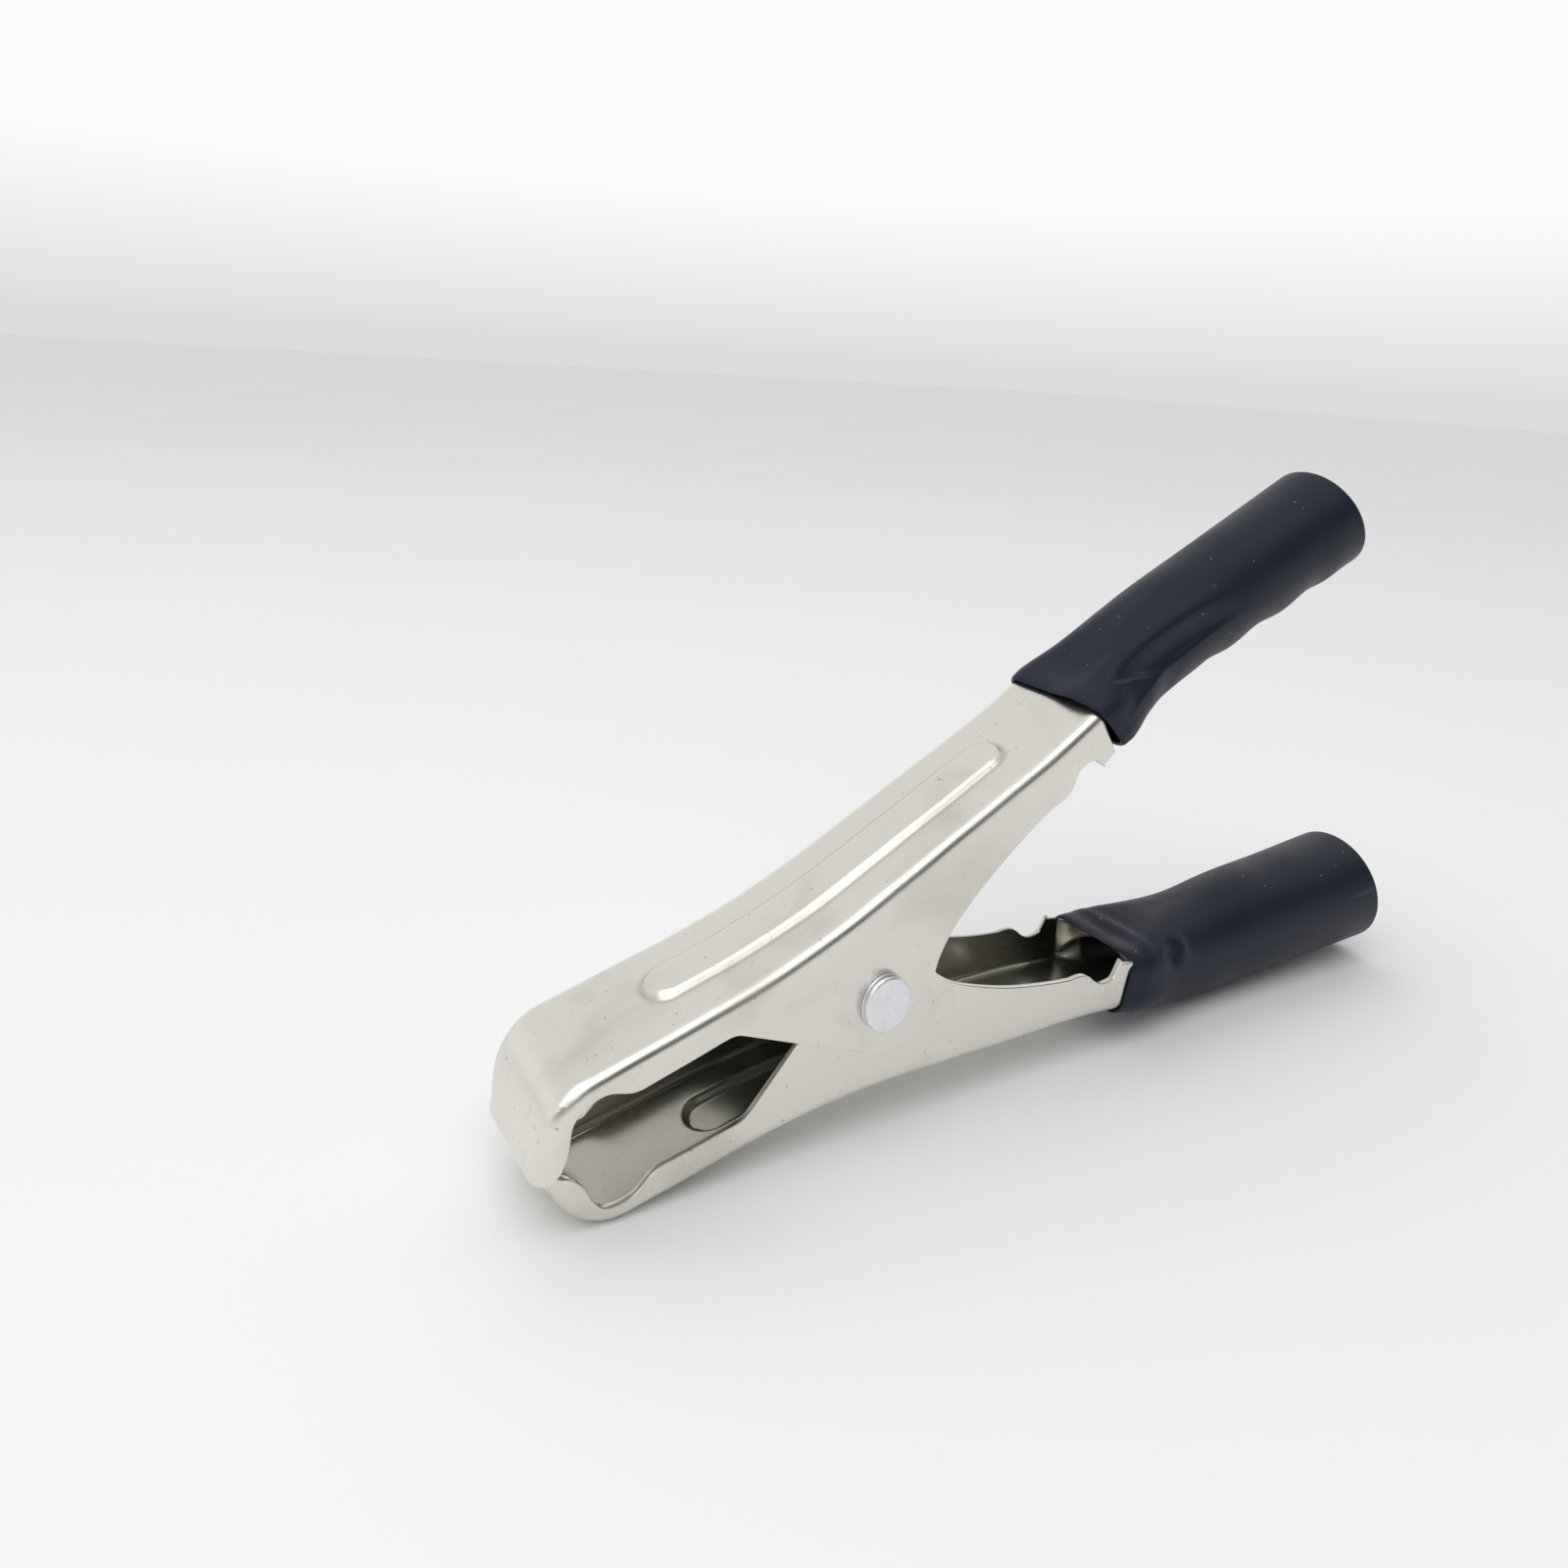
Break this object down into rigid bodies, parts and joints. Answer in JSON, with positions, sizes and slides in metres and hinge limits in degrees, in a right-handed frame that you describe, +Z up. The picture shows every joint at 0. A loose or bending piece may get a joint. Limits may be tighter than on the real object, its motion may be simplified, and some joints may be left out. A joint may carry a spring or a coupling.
{
  "type": "spring ground clamp",
  "caption": "Spring-loaded pressed-steel ground clamp with toothed jaws, a riveted pivot, a torsion spring and vinyl-sleeved handles that hold the welding cable.",
  "frame": {"origin": "on the surface that the closed clamp lies on, under the middle of its bounding box", "axes": "+X from the jaws to the handle ends, +Z up, -Y on the side of the rivet's flat head"},
  "size_m": [0.1708, 0.0228, 0.0936],
  "materials": {
    "nickel_plate": "nickel-plated pressed steel, bright with faint stains and fine scratches",
    "rivet_steel": "nickel-plated rivet with a satin head",
    "spring_steel": "drawn spring wire",
    "black_vinyl": "soft blue-black vinyl with a dull sheen and fine dust"
  },
  "bodies": {
    "lower_half": {"lower_jaw": "nickel_plate", "lower_grip": "black_vinyl", "pivot_rivet": "rivet_steel", "torsion_spring": "spring_steel"},
    "upper_half": {"upper_jaw": "nickel_plate", "upper_grip": "black_vinyl"}
  },
  "joints": [
    {"name": "jaw_hinge", "type": "hinge", "parent": "lower_half", "child": "upper_half", "pos_m": [-0.03525, 0, 0.01991], "axis": [0, 1, 0], "range_deg": [0, 24], "stiffness_Nm_per_rad": 5, "springref_deg": -22.92, "deforming": ["torsion_spring"]}
  ]
}
